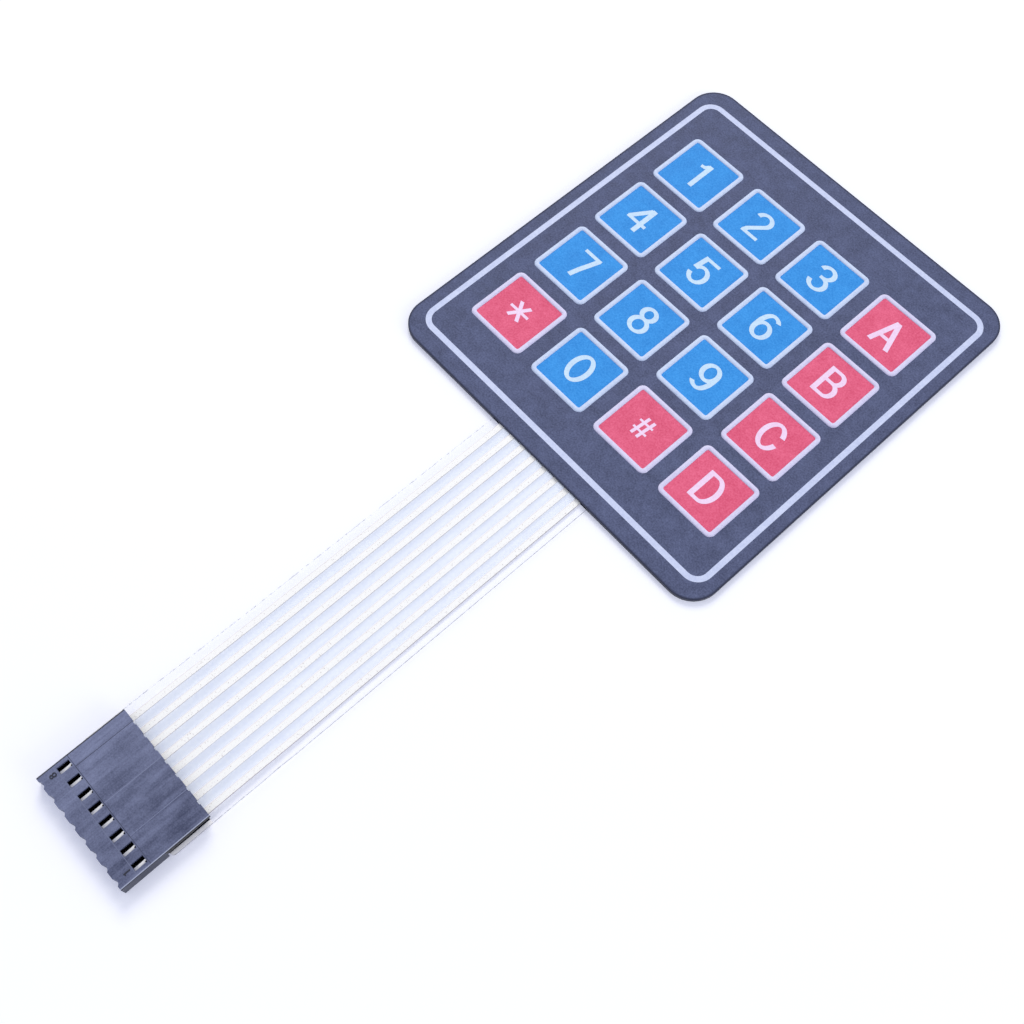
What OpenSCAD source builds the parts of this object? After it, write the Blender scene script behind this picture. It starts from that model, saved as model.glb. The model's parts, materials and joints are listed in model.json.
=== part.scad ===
// Flat membrane keypad: a laminate of thin films with a four by four block of
// rim-embossed keys, a two-film circuit tail and a crimped pin connector.
// Lengths are in millimetres. The origin is the middle of the pad's back face,
// +X runs along the rows, +Y towards the first row and +Z out of the key face.

/* [Pad] */
// Width of the pad, along its rows of keys
pad_w = 69; // [66:0.5:90]
// Length of the pad, along its columns of keys
pad_l = 76; // [70:0.5:100]
// Radius of the pad's corners
pad_r = 5; // [2:0.5:9]

/* [Layers] */
// Thickness of the paper release liner
liner_t = 0.1; // [0.05:0.05:0.3]
// Thickness of each adhesive sheet
adhesive_t = 0.05; // [0.03:0.01:0.15]
// Thickness of each circuit film
film_t = 0.125; // [0.075:0.025:0.2]
// Thickness of the spacer between the circuit films
spacer_t = 0.15; // [0.1:0.05:0.3]
// Thickness of the overlay film
overlay_t = 0.2; // [0.15:0.025:0.25]

/* [Keys] */
// Distance between columns of keys
key_pitch_x = 14.65; // [13:0.05:15.5]
// Distance between rows of keys
key_pitch_y = 14.2; // [13:0.05:15.5]
// Width and length of a key over its raised rim
key_w = 11.85; // [9:0.05:12.5]
// Outer corner radius of a key's raised rim
key_r = 1.15; // [1:0.05:3]
// Width of the raised rim
rim_w = 0.8; // [0.7:0.05:1]
// Width of the flat top of the raised rim
rim_top = 0.3; // [0.1:0.05:0.5]
// Height of the raised rim over the panel
rim_h = 0.2; // [0.1:0.01:0.25]
// How far the block of keys sits below the middle of the pad
key_drop = 0.4; // [0:0.1:1.5]

/* [Print] */
// Thickness of the printed colours
print_t = 0.02; // [0.01:0.01:0.05]
// Width of the white border line
border_w = 1; // [0.5:0.1:2]
// Distance from the pad's sides to the border line
border_side = 2.1; // [1.5:0.1:2.5]
// Distance from the pad's top and bottom to the border line
border_end = 3.1; // [1.5:0.1:4]
// Outer corner radius of the border line
border_r = 3; // [2.5:0.1:5]

/* [Circuit] */
// Thickness of the printed conductors
trace_t = 0.02; // [0.01:0.01:0.04]
// Width of the conductors inside the pad
trace_w = 1; // [0.5:0.1:1.2]
// Diameter of the contact spot under each key
contact_d = 6.5; // [4:0.1:7]
// Diameter of the spacer's hole under each key
spacer_hole_d = 8; // [7.2:0.1:9]
// Width of the air channels that join the spacer's holes
vent_w = 1.6; // [1.3:0.1:2.5]
// Distance between the leads that run round the keys
lead_pitch = 1.6; // [1.5:0.1:1.9]
// Distance from the contact spots to the nearest lead
lead_gap = 1.4; // [1.3:0.1:2]

/* [Tail] */
// Visible length of the tail, from the pad to the connector
tail_l = 71.6; // [40:0.1:200]
// Film beyond the outermost contact spaces, on each side of the tail
tail_edge = 0.69; // [0.3:0.01:2]
// How far the tail sits to the right of the pad's middle
tail_x = 0.6; // [0:0.1:2]
// Width of the conductors along the tail
tail_trace_w = 1.1; // [1:0.05:1.5]
// Length of the slope that lifts the tail to the connector
tail_rise_l = 26; // [10:1:35]
// Distance from the end of the conductors to the end of the films
trace_end = 0.4; // [0.2:0.1:0.5]

/* [Connector] */
// Distance between contacts
pitch = 2.54; // [2.5:0.01:2.6]
// Length of the connector, along the tail
conn_l = 14.9; // [14.4:0.1:20]
// Height of the connector
conn_h = 2.5; // [2.4:0.1:3.5]
// Housing beyond the outermost contact spaces, on each side
conn_edge = 0.09; // [0:0.01:1]
// Bevel along the housing's upper side edges
conn_bevel = 0.2; // [0.1:0.05:0.35]
// Length of the closed block at the housing's front
block_l = 7.4; // [7:0.1:7.6]
// Thickness of the wall in front of the contacts
front_wall = 0.9; // [0.8:0.1:1.3]
// Thickness of the floor under and the roof over the contacts
conn_wall = 0.4; // [0.3:0.05:0.45]
// Width of the space that holds a contact
cavity_w = 1.6; // [1.4:0.05:1.9]
// Room between a contact and its space
cavity_gap = 0.05; // [0.03:0.01:0.08]
// Width of the window over each contact
window_w = 1.15; // [0.9:0.05:1.3]
// Length of the window over each contact
window_l = 2; // [1.6:0.1:2.4]
// Distance from the connector's front to its windows
window_y = 2.9; // [2:0.1:3.3]
// Width of the square pin holes
pin_hole = 0.9; // [0.8:0.05:1]
// Widest part of the round funnel at each pin hole
funnel_d = 1.2; // [1.1:0.05:1.3]
// Depth of the round funnel at each pin hole
funnel_l = 0.3; // [0.1:0.05:0.35]
// Width of the upright flute in front of each pin hole
flute_w = 1.3; // [1.2:0.05:1.6]
// Depth of the upright flute in front of each pin hole
flute_depth = 0.35; // [0.2:0.05:0.4]
// Height of the raised panel on the housing
panel_h = 0.08; // [0.02:0.02:0.2]
// Distance from the housing's left side to the raised panel
panel_left = 2.4; // [1:0.1:5]
// Distance from the housing's right side to the raised panel
panel_right = 5.1; // [1:0.1:7]
// Distance from the windows to the raised panel
panel_gap = 0.2; // [0.1:0.1:2]
// Gap between the tail and the hood over it
hood_gap = 0.3; // [0.22:0.02:0.4]
// Thickness of the hood at its rear edge
hood_edge = 0.5; // [0.45:0.05:0.8]
// Width of the notches between the contacts in the hood's rear edge
notch_w = 0.8; // [0.4:0.1:1.2]
// Depth of the notches between the contacts in the hood's rear edge
notch_depth = 0.15; // [0.05:0.05:0.4]

/* [Terminals] */
// Thickness of the terminals' sheet metal
sheet_t = 0.2; // [0.15:0.01:0.25]
// Inner radius of the bends round a terminal's pin box
bend_r = 0.1; // [0.05:0.01:0.2]
// Length of a terminal's pin box
box_l = 5.2; // [4.8:0.1:5.4]
// Height of the spring in the pin box
spring_h = 0.45; // [0.3:0.05:0.6]
// Height of the catch that locks a terminal in its window
catch_h = 0.3; // [0.1:0.02:0.38]
// Length of the catch that locks a terminal in its window
catch_l = 1.4; // [0.8:0.1:1.5]
// Width of the crimp strip
strip_w = 0.9; // [0.8:0.05:1]
// Length of a terminal that lies under the films
crimp_l = 6; // [5.8:0.1:6.3]
// Gap between the end of the films and the closed block
film_gap = 0.3; // [0.1:0.05:0.4]
// Distance from the end of the films to the first claw
claw_start = 0.6; // [0.55:0.05:0.7]
// Distance from one claw to the next, on alternate sides
claw_pitch = 0.8; // [0.75:0.01:0.82]
// Width of a claw, along the terminal
claw_w = 0.6; // [0.4:0.05:0.65]
// Length of a claw's foot, folded over the films
claw_foot = 0.5; // [0.3:0.05:0.55]
// Room between a claw and its slot in the films
slot_gap = 0.02; // [0.01:0.01:0.04]

/* [Hidden] */
$fn = 64;
rows = 4;
columns = 4;
ways = rows + columns;
claws = 6;
rise_steps = 16;
// Overshoot of cutting shapes, and the depth to which joined shapes overlap
cut = 0.1;
// Length of tail that lies inside the pad
tail_root = 2;

// Levels of the laminate, from the back face up
z_rear_adhesive = liner_t;
z_circuit = z_rear_adhesive + adhesive_t;
tail_t = 2 * film_t + spacer_t;
z_overlay_adhesive = z_circuit + tail_t;
z_overlay = z_overlay_adhesive + adhesive_t;
z_panel = z_overlay + overlay_t;

// Heights over the lower film's underside, in the pad and along the tail
h_column = film_t;
h_row = film_t + spacer_t - trace_t;
h_upper = film_t + spacer_t;

// Middle line of a key's rim, and the colour field inside the rim
rim_centre = (key_w - rim_w) / 2;
rim_corner = key_r - rim_w / 2;
field_w = key_w - 2 * rim_w - 2 * print_t;
field_r = key_r - rim_w - print_t;

// Places along the tail, and the connector seen from its front face
y_pad = -pad_l / 2;
y_rear = y_pad - tail_l;
y_front = y_rear - conn_l;
tail_w = ways * pitch + 2 * tail_edge;
conn_w = ways * pitch + 2 * conn_edge;
film_end = block_l + film_gap;

// Levels in the connector
z_terminal = conn_wall + cavity_gap;
z_crimp = z_terminal + sheet_t;
z_tail_top = z_crimp + tail_t;
z_hood = z_tail_top + hood_gap;
z_roof = conn_h - conn_wall;
z_box_top = z_roof - cavity_gap;
z_pin = (conn_wall + z_roof) / 2;
box_w = cavity_w - 2 * cavity_gap;
box_h = z_box_top - z_terminal;
flute_r = (flute_w * flute_w / 4 + flute_depth * flute_depth) / (2 * flute_depth);
z_hood_edge = conn_h - hood_edge;
hood_slope = (z_hood_edge - z_hood) / (conn_l - block_l);

// Places of keys, conductors and contacts
function key_x(column) = (column - (columns - 1) / 2) * key_pitch_x;
function key_y(row) = ((rows - 1) / 2 - row) * key_pitch_y - key_drop;
function is_red(row, column) = column == columns - 1 || (row == rows - 1 && column != 1);
function way_x(way) = tail_x + (way - (ways - 1) / 2) * pitch;
function lead_x(lane) = key_x(0) - contact_d / 2 - lead_gap - lane * lead_pitch;
function lead_y(lane) = key_y(rows - 1) - contact_d / 2 - lead_gap - lane * lead_pitch;

// Height of the tail's underside: level from the pad, then a smooth slope up to the crimps
function slope(y) = min(1, max(0, (y_rear + tail_rise_l - y) / tail_rise_l));
function tail_z(y) = z_circuit + (z_crimp - z_circuit) * (1 - cos(180 * slope(y))) / 2;

// Route of a row's conductor: along the row, down the left margin, then to its way in the tail
function row_route(row) = let (lane = rows - 1 - row) [
    [key_x(columns - 1), key_y(row)],
    [lead_x(lane), key_y(row)],
    [lead_x(lane), lead_y(lane)],
    [way_x(row), lead_y(lane)],
    [way_x(row), y_pad]
];

// Route of a column's conductor: down the column, then to its way in the tail
function column_route(column) = let (lane = column == 0 ? 1 : 0) [
    [key_x(column), key_y(0)],
    [key_x(column), lead_y(lane)],
    [way_x(rows + column), lead_y(lane)],
    [way_x(rows + column), y_pad]
];

// Rectangle with round corners
module rounded(w, l, r) {
    square([w - 2 * r, l], center = true);
    square([w, l - 2 * r], center = true);
    for (x = [-1, 1], y = [-1, 1])
        translate([x * (w / 2 - r), y * (l / 2 - r)]) circle(r);
}

// Outline in x and z, drawn out along y
module along_y(y, l) {
    translate([0, y + l, 0]) rotate([90, 0, 0]) linear_extrude(l) children();
}

// Outline in y and z, drawn out along x
module along_x(x, w) {
    translate([x, 0, 0]) rotate([90, 0, 90]) linear_extrude(w) children();
}

module at_keys() {
    for (row = [0:rows - 1], column = [0:columns - 1])
        translate([key_x(column), key_y(row), 0]) children();
}

// One sheet of the laminate, with the pad's outline
module sheet(z, t) {
    translate([0, 0, z]) linear_extrude(t) rounded(pad_w, pad_l, pad_r);
}

// Section carried round the middle line of a key's rim
module round_rim() {
    side = 2 * (rim_centre - rim_corner);
    for (quarter = [0:3]) rotate(90 * quarter) {
        translate([rim_centre, 0, 0]) rotate([90, 0, 0])
            linear_extrude(side, center = true) children();
        translate([side / 2, side / 2, 0])
            rotate_extrude(angle = 90) translate([rim_corner, 0]) children();
    }
}

// Points up one side, over the flat top and down the other side of the rim's section
function rim_line(z, grow) = [
    [-rim_w / 2 - grow, z],
    [-rim_top / 2 - grow, z + rim_h],
    [rim_top / 2 + grow, z + rim_h],
    [rim_w / 2 + grow, z]
];

// Section of the rim, standing on a foot of the given depth
module rim_section(z, foot) {
    polygon(concat([[-rim_w / 2, z - foot]], rim_line(z, 0), [[rim_w / 2, z - foot]]));
}

// Section of the print that covers the rim
module rim_print_section() {
    under = rim_line(0, 0);
    over = rim_line(0, print_t);
    lift = [0, print_t];
    polygon(concat(
        [over[0], over[1] + lift, over[2] + lift, over[3]],
        [for (i = [3:-1:0]) under[i]]
    ));
}

// Film of even thickness: each rim is raised over the panel and hollow under it
module graphic_overlay() {
    color("#525b73") translate([0, 0, z_panel]) difference() {
        union() {
            sheet(-overlay_t, overlay_t);
            at_keys() round_rim() rim_section(0, overlay_t / 2);
        }
        at_keys() round_rim() rim_section(-overlay_t, cut);
    }
}

module white_print() {
    color("#e4e8f6") translate([0, 0, z_panel]) {
        at_keys() round_rim() rim_print_section();
        linear_extrude(print_t) difference() {
            rounded(pad_w - 2 * border_side, pad_l - 2 * border_end, border_r);
            rounded(
                pad_w - 2 * border_side - 2 * border_w,
                pad_l - 2 * border_end - 2 * border_w,
                border_r - border_w
            );
        }
    }
}

// Colour fields inside the rims of the keys of one colour
module key_fields(red) {
    for (row = [0:rows - 1], column = [0:columns - 1])
        if (is_red(row, column) == red)
            translate([key_x(column), key_y(row), z_panel])
                linear_extrude(print_t) rounded(field_w, field_w, field_r);
}

module blue_print() {
    color("#3d9bee") key_fields(false);
}

module red_print() {
    color("#e95a7d") key_fields(true);
}

module overlay_adhesive() {
    color("#d8d8c8") sheet(z_overlay_adhesive, adhesive_t);
}

// Strip along the tail between two heights over the lower film's underside
module tail_strip(x, w, low, high, y_end) {
    ys = concat(
        [y_pad + tail_root],
        [for (i = [0:rise_steps]) y_rear + tail_rise_l * (1 - i / rise_steps)],
        [y_end]
    );
    upper = [for (y = ys) [y, tail_z(y) + high]];
    lower = [for (i = [len(ys) - 1:-1:0]) [ys[i], tail_z(ys[i]) + low]];
    along_x(x - w / 2, w) polygon(concat(upper, lower));
}

// Places of the claws on a terminal, on alternate sides, seen from the connector's front
module at_claws() {
    for (i = [0:claws - 1])
        translate([0, film_end + claw_start + i * claw_pitch, 0])
            mirror([i % 2, 0, 0]) children();
}

// Slots that the claws of one terminal pierce through the films
module claw_slots(way) {
    translate([way_x(way), y_front, 0]) at_claws()
        translate([strip_w / 2 - sheet_t - slot_gap, -slot_gap, 0])
            cube([sheet_t + 2 * slot_gap, claw_w + 2 * slot_gap, conn_h]);
}

// One layer of the circuit: the pad's sheet and its tail, pierced by the claws
module circuit_layer(low, high) {
    difference() {
        union() {
            sheet(z_circuit + low, high - low);
            tail_strip(tail_x, tail_w, low, high, y_front + film_end);
        }
        for (way = [0:ways - 1]) claw_slots(way);
    }
}

// Printed line through the points of a route that turns at right angles
module printed_line(route) {
    for (i = [0:len(route) - 2])
        translate((route[i] + route[i + 1]) / 2) square(
            [abs(route[i + 1].x - route[i].x) + trace_w, abs(route[i + 1].y - route[i].y) + trace_w],
            center = true
        );
}

// Printed conductor with its contact spots and its line along the tail
module conductor(way, route, spots, low, high) {
    difference() {
        union() {
            translate([0, 0, z_circuit + low]) linear_extrude(high - low) {
                printed_line(route);
                for (spot = spots) translate(spot) circle(d = contact_d);
            }
            tail_strip(way_x(way), tail_trace_w, low, high, y_front + film_end + trace_end);
        }
        claw_slots(way);
    }
}

module row_line(row, low, high) {
    spots = [for (column = [0:columns - 1]) [key_x(column), key_y(row)]];
    conductor(row, row_route(row), spots, low, high);
}

module column_line(column, low, high) {
    spots = [for (row = [0:rows - 1]) [key_x(column), key_y(row)]];
    conductor(rows + column, column_route(column), spots, low, high);
}

module upper_circuit_film() {
    color("#f2f4fa") circuit_layer(h_upper, tail_t);
}

module row_conductor(row) {
    color("#d9dade") row_line(row, h_row, h_upper);
}

module column_conductor(column) {
    color("#d9dade") column_line(column, h_column, h_column + trace_t);
}

module lower_circuit_film() {
    color("#f2f4fa") circuit_layer(0, film_t);
}

// Spacer, with a hole under each key, air channels down the columns and beds for the conductors
module spacer() {
    color("#e9ebf0") difference() {
        circuit_layer(film_t, h_upper);
        translate([0, 0, z_circuit + film_t - cut]) linear_extrude(spacer_t + 2 * cut) {
            at_keys() circle(d = spacer_hole_d);
            for (column = [0:columns - 1])
                translate([key_x(column), (key_y(0) + key_y(rows - 1)) / 2])
                    square([vent_w, key_y(0) - key_y(rows - 1)], center = true);
        }
        for (row = [0:rows - 1]) row_line(row, h_row, h_upper + cut);
        for (column = [0:columns - 1]) column_line(column, h_column - cut, h_column + trace_t);
    }
}

module rear_adhesive() {
    color("#d8d8c8") sheet(z_rear_adhesive, adhesive_t);
}

module release_liner() {
    color("#f4f1e8") sheet(0, liner_t);
}

// Section of the housing, with bevelled upper edges
module housing_section() {
    polygon([
        [-conn_w / 2, 0],
        [conn_w / 2, 0],
        [conn_w / 2, conn_h - conn_bevel],
        [conn_w / 2 - conn_bevel, conn_h],
        [conn_bevel - conn_w / 2, conn_h],
        [-conn_w / 2, conn_h - conn_bevel]
    ]);
}

// Room for the housing seen from the side: the block, then the hood, which thins to its rear edge
module housing_side() {
    polygon([
        [-cut, -cut],
        [block_l, -cut],
        [block_l, z_hood],
        [conn_l + cut, z_hood_edge + cut * hood_slope],
        [conn_l + cut, conn_h + cut],
        [-cut, conn_h + cut]
    ]);
}

// Space for one terminal, with its window, pin hole, funnel and flute
module contact_space() {
    translate([-cavity_w / 2, front_wall, conn_wall]) cube([cavity_w, conn_l, z_roof - conn_wall]);
    translate([-window_w / 2, window_y, z_pin]) cube([window_w, window_l, conn_h]);
    translate([-pin_hole / 2, -cut, z_pin - pin_hole / 2]) cube([pin_hole, front_wall + 2 * cut, pin_hole]);
    translate([0, flute_depth + funnel_l, z_pin]) rotate([90, 0, 0])
        cylinder(h = funnel_l, d1 = pin_hole, d2 = funnel_d);
    translate([0, flute_depth - flute_r, -cut]) cylinder(h = conn_h + 2 * cut, r = flute_r);
}

module connector_housing() {
    panel_y = window_y + window_l + panel_gap;
    color("#4b4e60") translate([tail_x, y_front, 0]) difference() {
        union() {
            intersection() {
                along_y(0, conn_l) housing_section();
                along_x(-conn_w, 2 * conn_w) housing_side();
            }
            translate([panel_left - conn_w / 2, panel_y, z_roof])
                cube([conn_w - panel_left - panel_right, conn_l - panel_y, conn_wall + panel_h]);
        }
        for (way = [0:ways - 1]) translate([way_x(way) - tail_x, 0, 0]) contact_space();
        for (way = [0:ways - 2])
            translate([way_x(way) - tail_x + (pitch - notch_w) / 2, conn_l - notch_depth, z_hood])
                cube([notch_w, conn_l, conn_h]);
    }
}

// Folded section of the pin box, open over the left half of its roof
module box_section() {
    seam_w = box_w / 2 - sheet_t;
    difference() {
        translate([0, z_pin]) rounded(box_w, box_h, bend_r + sheet_t);
        translate([0, z_pin]) rounded(box_w - 2 * sheet_t, box_h - 2 * sheet_t, bend_r);
        translate([-seam_w, z_pin]) square([seam_w, box_h]);
    }
}

// Arched spring on the floor of the pin box
module box_spring(y) {
    arc = (box_l * box_l / 4 + spring_h * spring_h) / (2 * spring_h);
    along_x(-strip_w / 2, strip_w) intersection() {
        translate([y + box_l / 2, z_crimp + spring_h - arc]) difference() {
            circle(arc, $fn = 256);
            circle(arc - sheet_t, $fn = 256);
        }
        translate([y, z_terminal + sheet_t / 2]) square([box_l, box_h]);
    }
}

// Claw: a leg through the films and a foot folded over them
module claw() {
    leg_x = strip_w / 2 - sheet_t;
    along_y(0, claw_w) {
        translate([leg_x, z_terminal]) square([sheet_t, z_tail_top - z_terminal]);
        translate([leg_x - claw_foot, z_tail_top]) square([claw_foot, sheet_t]);
        intersection() {
            translate([leg_x, z_tail_top]) circle(sheet_t);
            translate([leg_x, z_tail_top]) square(sheet_t);
        }
    }
}

module terminal(way) {
    box_y = front_wall + cavity_gap;
    catch_y = window_y + window_l - cavity_gap;
    catch_base = z_box_top - sheet_t / 2;
    catch_w = window_w / 2 - 2 * cavity_gap;
    color("#c9cbd1") translate([way_x(way), y_front, 0]) {
        along_y(box_y, box_l) box_section();
        box_spring(box_y);
        along_x(cavity_gap, catch_w) polygon([
            [catch_y - catch_l, catch_base],
            [catch_y, catch_base],
            [catch_y, z_box_top + catch_h]
        ]);
        translate([-strip_w / 2, box_y + box_l - cut, z_terminal])
            cube([strip_w, film_end + crimp_l - box_y - box_l + cut, sheet_t]);
        at_claws() claw();
    }
}

graphic_overlay();
white_print();
blue_print();
red_print();
overlay_adhesive();
upper_circuit_film();
for (r = [1:rows]) row_conductor(r - 1);
spacer();
for (c = [1:columns]) column_conductor(c - 1);
lower_circuit_film();
rear_adhesive();
release_liner();
connector_housing();
for (w = [1:ways]) terminal(w - 1);
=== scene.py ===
"""Looks of a flat membrane keypad with a clear circuit tail and a pin connector.

The CAD model is the frame. This script adds the rounded key rims, the border line, the key
legends, the clear film of the tail and the pin marks, and gives every piece its finish.
Sizes are in millimetres and become metres where a piece is placed.
"""

import json
import math

import bpy
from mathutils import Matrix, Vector

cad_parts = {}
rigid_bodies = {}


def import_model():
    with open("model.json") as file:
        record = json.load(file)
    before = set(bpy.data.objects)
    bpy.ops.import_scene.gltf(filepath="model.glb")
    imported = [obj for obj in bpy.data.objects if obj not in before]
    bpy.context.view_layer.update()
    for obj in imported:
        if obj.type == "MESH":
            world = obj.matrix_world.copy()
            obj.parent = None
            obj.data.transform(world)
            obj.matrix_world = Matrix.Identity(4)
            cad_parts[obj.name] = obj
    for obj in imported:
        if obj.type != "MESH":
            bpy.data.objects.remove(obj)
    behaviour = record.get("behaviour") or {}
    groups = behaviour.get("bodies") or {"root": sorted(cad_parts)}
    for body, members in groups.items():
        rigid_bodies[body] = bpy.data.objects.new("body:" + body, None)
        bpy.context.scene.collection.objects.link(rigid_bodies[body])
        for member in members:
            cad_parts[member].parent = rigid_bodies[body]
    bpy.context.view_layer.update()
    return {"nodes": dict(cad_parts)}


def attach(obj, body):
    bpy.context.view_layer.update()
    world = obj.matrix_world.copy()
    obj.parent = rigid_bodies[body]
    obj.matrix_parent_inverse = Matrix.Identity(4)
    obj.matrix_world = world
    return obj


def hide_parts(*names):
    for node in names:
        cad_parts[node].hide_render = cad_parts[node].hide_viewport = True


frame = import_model()
nodes = frame["nodes"]

MM = 0.001
# Distance within which a point counts as being at a place
NEAR = 0.01

# Pad and keys, as in the CAD source
PAD_W, PAD_L, PAD_R, PAD_CORNER_STEPS = 69, 76, 5, 12
PANEL_Z = 0.8
KEY_PITCH_X, KEY_PITCH_Y, KEY_DROP = 14.65, 14.2, 0.4
KEY_W, KEY_R, KEY_CORNER_STEPS = 11.85, 1.15, 8
RIM_W, RIM_H, RIM_STEPS, RIM_SMOOTH = 0.8, 0.2, 10, 40
PRINT_T = 0.02
BORDER_W, BORDER_SIDE, BORDER_END = 1, 2.1, 3.1
BORDER_R, BORDER_CORNER_STEPS = 3, 12

# Tail, as in the CAD source
CIRCUIT_Z, CIRCUIT_T = 0.15, 0.4
CRIMP_Z = 0.65
TAIL_X, TAIL_W = 0.6, 21.7
TAIL_START, TAIL_END = -38, -116.8
RISE_START, RISE_END = -83.6, -109.6
FILM_CORNER, FILM_CORNER_STEPS, FILM_SMOOTH = 0.6, 5, 30
LEVEL_STEPS, SLOPE_STEPS, CRIMP_STEPS = 6, 52, 4
PITCH, WAYS, TRACE_W = 2.54, 8, 1.1
TAIL_LEFT, TAIL_RIGHT = TAIL_X - TAIL_W / 2, TAIL_X + TAIL_W / 2

# Connector, as in the CAD source
CONN_FRONT, CONN_TOP, CONN_W = -124.5, 2.5, 20.5
CONN_LEFT, CONN_RIGHT = TAIL_X - CONN_W / 2, TAIL_X + CONN_W / 2
CONN_BEVEL, BLOCK_L = 0.2, 7.4
PANEL_LEFT, PANEL_RIGHT = CONN_LEFT + 2.4, CONN_RIGHT - 5.1
PANEL_FRONT = CONN_FRONT + 5.1
WINDOW_FRONT, WINDOW_REAR = CONN_FRONT + 2.9, CONN_FRONT + 4.9
BOX_REAR, BOX_TOP = CONN_FRONT + 6.2, 1.95

# Ripple in the right edge of the tail, near the connector, and the cuts that let it bend there
RIPPLE_H, RIPPLE_WAVE = 0.13, 7.5
RIPPLE_INNER = 5.5
RIPPLE_START, RIPPLE_END = -89, -108
RIPPLE_CUTS = (RIPPLE_INNER, 7, 8.5, 10, 10.8)

# Pen that draws the legends, a wide, low nib, and how far the legends sit from the keys' middles
NIB_W, NIB_H = 0.91, 0.63
PEN_DOT, PEN_CLOSE = 0.1, 0.001
LEGEND_X, LEGEND_Y = -0.1, 0.12
MARK_SIZE, MARK_NIB, MARK_T = 0.18, 1.2, 0.06
MARK_Y = CONN_FRONT + 2


def metres(*lengths):
    """Lengths in millimetres as a tuple in metres."""
    return tuple(length * MM for length in lengths)


def linear(red, green, blue):
    """A colour given in screen values from 0 to 255, as shader values."""
    def channel(value):
        value /= 255
        return value / 12.92 if value <= 0.04045 else ((value + 0.055) / 1.055) ** 2.4
    return (channel(red), channel(green), channel(blue), 1)


# Modelling

def start_plane(name, width, length, z):
    """A flat sheet at a height, left open in edit mode."""
    bpy.ops.object.select_all(action="DESELECT")
    bpy.ops.mesh.primitive_plane_add(size=1)
    piece = bpy.context.object
    piece.name = name
    bpy.ops.object.mode_set(mode="EDIT")
    bpy.ops.transform.resize(value=(width * MM, length * MM, 1))
    bpy.ops.transform.translate(value=metres(0, 0, z))
    return piece


def round_corners(radius, segments):
    """Rounds the selected corners of a flat sheet."""
    bpy.ops.mesh.bevel(affect="VERTICES", offset=radius * MM, segments=segments, profile=0.5)


def select_where(piece, wanted):
    """Selects the vertices whose place in millimetres passes a test."""
    bpy.ops.mesh.select_all(action="DESELECT")
    bpy.ops.object.mode_set(mode="OBJECT")
    for vertex in piece.data.vertices:
        vertex.select = wanted(vertex.co / MM)
    bpy.ops.object.mode_set(mode="EDIT")


def face_outwards():
    """Turns all faces of the mesh that is open outwards."""
    bpy.ops.mesh.select_all(action="SELECT")
    bpy.ops.mesh.normals_make_consistent(inside=False)


def close_edit():
    """Turns all faces outwards and leaves edit mode."""
    face_outwards()
    bpy.ops.object.mode_set(mode="OBJECT")


def thicken(piece, thickness, offset, edge_finish=0):
    """Gives an open sheet or wall its thickness, and its cut edges a finish of their own."""
    bpy.ops.object.modifier_add(type="SOLIDIFY")
    solidify = piece.modifiers[-1]
    solidify.thickness = thickness * MM
    solidify.offset = offset
    solidify.use_even_offset = True
    solidify.material_offset_rim = edge_finish
    bpy.ops.object.modifier_apply(modifier=solidify.name)


def join(name, pieces):
    """Several pieces as one."""
    bpy.ops.object.select_all(action="DESELECT")
    for piece in pieces:
        piece.select_set(True)
    bpy.context.view_layer.objects.active = pieces[0]
    bpy.ops.object.join()
    pieces[0].name = name
    return pieces[0]


def copy_to(piece, places):
    """Copies of a piece at places in millimetres, joined into that piece."""
    copies = []
    for x, y in places:
        bpy.ops.object.select_all(action="DESELECT")
        piece.select_set(True)
        bpy.context.view_layer.objects.active = piece
        bpy.ops.object.duplicate(linked=False)
        copies.append(bpy.context.object)
        bpy.ops.transform.translate(value=metres(x, y, 0))
        bpy.ops.object.transform_apply(location=True, rotation=False, scale=False)
    name = piece.name
    bpy.data.objects.remove(piece)
    return join(name, copies)


def key_places():
    """Middle of every key, row by row."""
    return [
        ((column - 1.5) * KEY_PITCH_X, (1.5 - row) * KEY_PITCH_Y - KEY_DROP)
        for row in range(4) for column in range(4)
    ]


def way_x(way):
    """Middle of a contact and its conductor, across the tail."""
    return TAIL_X + (way - (WAYS - 1) / 2) * PITCH


def build_rims():
    """White rims round the keys, stepped over a half-round section."""
    half, height = RIM_W / 2 + PRINT_T, RIM_H + PRINT_T
    outer = KEY_W + 2 * PRINT_T
    rim = start_plane("key_rims", outer, outer, PANEL_Z)
    round_corners(KEY_R + PRINT_T, KEY_CORNER_STEPS)
    for step in range(RIM_STEPS):
        low, high = math.pi * step / RIM_STEPS, math.pi * (step + 1) / RIM_STEPS
        bpy.ops.mesh.inset(
            thickness=half * (math.cos(low) - math.cos(high)) * MM,
            depth=height * (math.sin(high) - math.sin(low)) * MM,
        )
    bpy.ops.mesh.delete(type="FACE")
    bpy.ops.mesh.select_non_manifold()
    bpy.ops.mesh.bridge_edge_loops()
    close_edit()
    bpy.ops.object.shade_smooth_by_angle(angle=math.radians(RIM_SMOOTH))
    paint(rim, "rim_white")
    return copy_to(rim, key_places())


def build_border():
    """White line round the block of keys."""
    width, length = PAD_W - 2 * BORDER_SIDE, PAD_L - 2 * BORDER_END
    border = start_plane("border_line", width, length, PANEL_Z)
    round_corners(BORDER_R, BORDER_CORNER_STEPS)
    bpy.ops.mesh.inset(thickness=BORDER_W * MM)
    bpy.ops.mesh.delete(type="FACE")
    bpy.ops.object.mode_set(mode="OBJECT")
    thicken(border, PRINT_T, 1)
    paint(border, "white_ink")
    return border


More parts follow.
